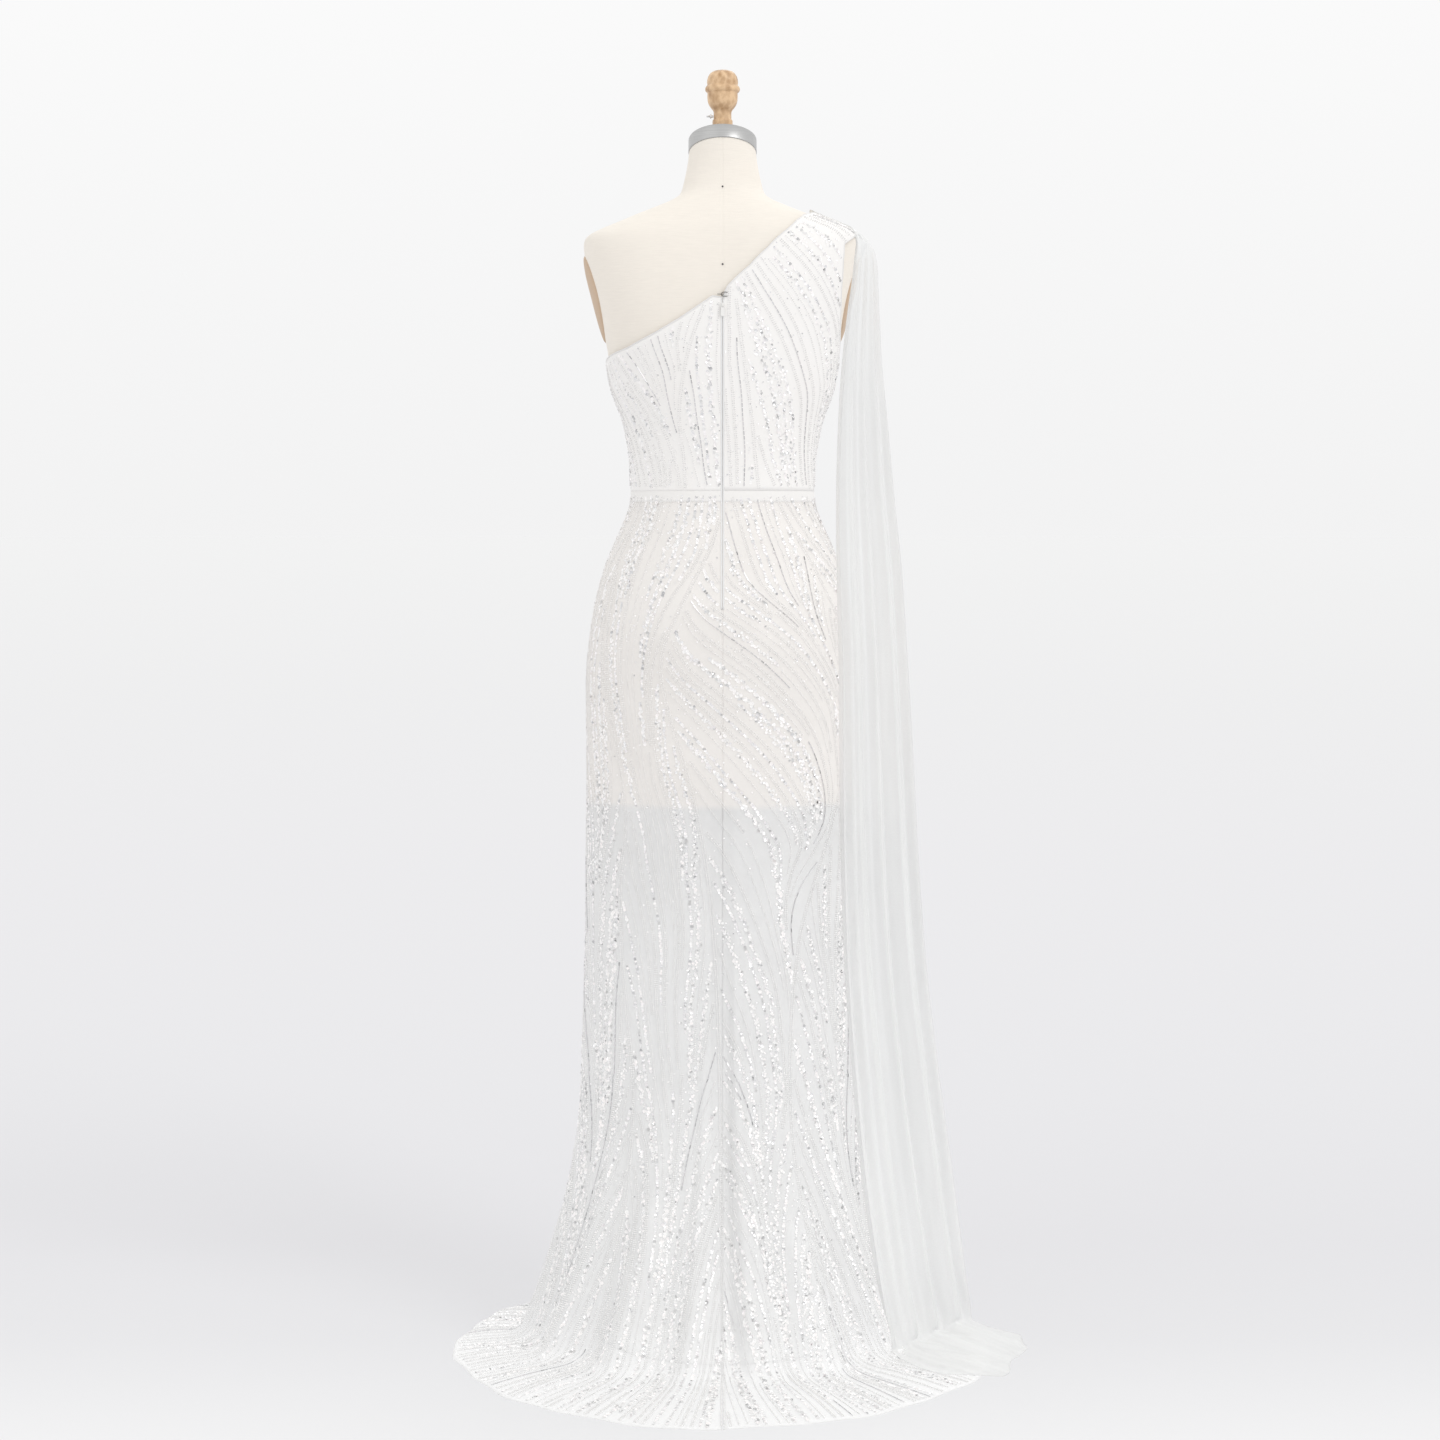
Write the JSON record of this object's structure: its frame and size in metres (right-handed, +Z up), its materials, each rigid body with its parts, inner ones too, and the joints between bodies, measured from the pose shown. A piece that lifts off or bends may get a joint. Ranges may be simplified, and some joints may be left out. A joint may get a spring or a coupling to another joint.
{
  "type": "mermaid gown on dress form",
  "caption": "One-shoulder beaded tulle mermaid gown with a sweep train and a chiffon streamer at the shoulder, worn by a limbless dress form on a round base.",
  "frame": {"origin": "on the floor under the stand's pole, at the centre of the base's underside", "axes": "+Z up, the gown's front towards -Y, the wearer's left towards +X"},
  "size_m": [0.795, 0.6858, 1.7078],
  "materials": {
    "form_linen": "cream linen, plain weave",
    "plate_linen": "tan linen, plain weave",
    "neck_steel": "brushed round the neck",
    "finial_wood": "satin, figured light wood",
    "screw_chrome": "polished",
    "stand_iron": "satin white paint",
    "pole_steel": "satin white paint",
    "beaded_tulle": "sheer net with beads and sequins",
    "lining_satin": "matt satin, blush ivory",
    "chiffon": "sheer chiffon",
    "zip_metal": "white enamel",
    "hook_steel": "dull nickel wire"
  },
  "bodies": {
    "gown_on_form": {"form_torso": "form_linen", "form_arm_plate_left": "plate_linen", "form_arm_plate_right": "plate_linen", "form_neck_cap": "neck_steel", "form_finial": "finial_wood", "stand_base": "stand_iron", "stand_pole": "pole_steel", "bodice_back_right": "beaded_tulle", "bodice_back_left": "beaded_tulle", "bodice_front": "beaded_tulle", "skirt_back_left": "beaded_tulle", "skirt_back_right": "beaded_tulle", "skirt_front": "beaded_tulle", "lining_back": "lining_satin", "lining_front": "lining_satin", "shoulder_streamer": "chiffon", "zip_slider": "zip_metal", "closure_eye": "hook_steel", "closure_hook": "hook_steel"},
    "zip_pull_tab": {"zip_pull": "zip_metal"},
    "thumbscrew": {"form_thumbscrew": "screw_chrome"}
  },
  "joints": [
    {"name": "zip_pull_swing", "type": "hinge", "parent": "gown_on_form", "child": "zip_pull_tab", "pos_m": [0, 0.10953, 1.38915], "axis": [1, 0, 0], "range_deg": [0, 140]},
    {"name": "thumbscrew_turn", "type": "hinge", "parent": "gown_on_form", "child": "thumbscrew", "pos_m": [0.0125, 0, 1.6465], "axis": [1, 0, 0], "continuous": true}
  ]
}
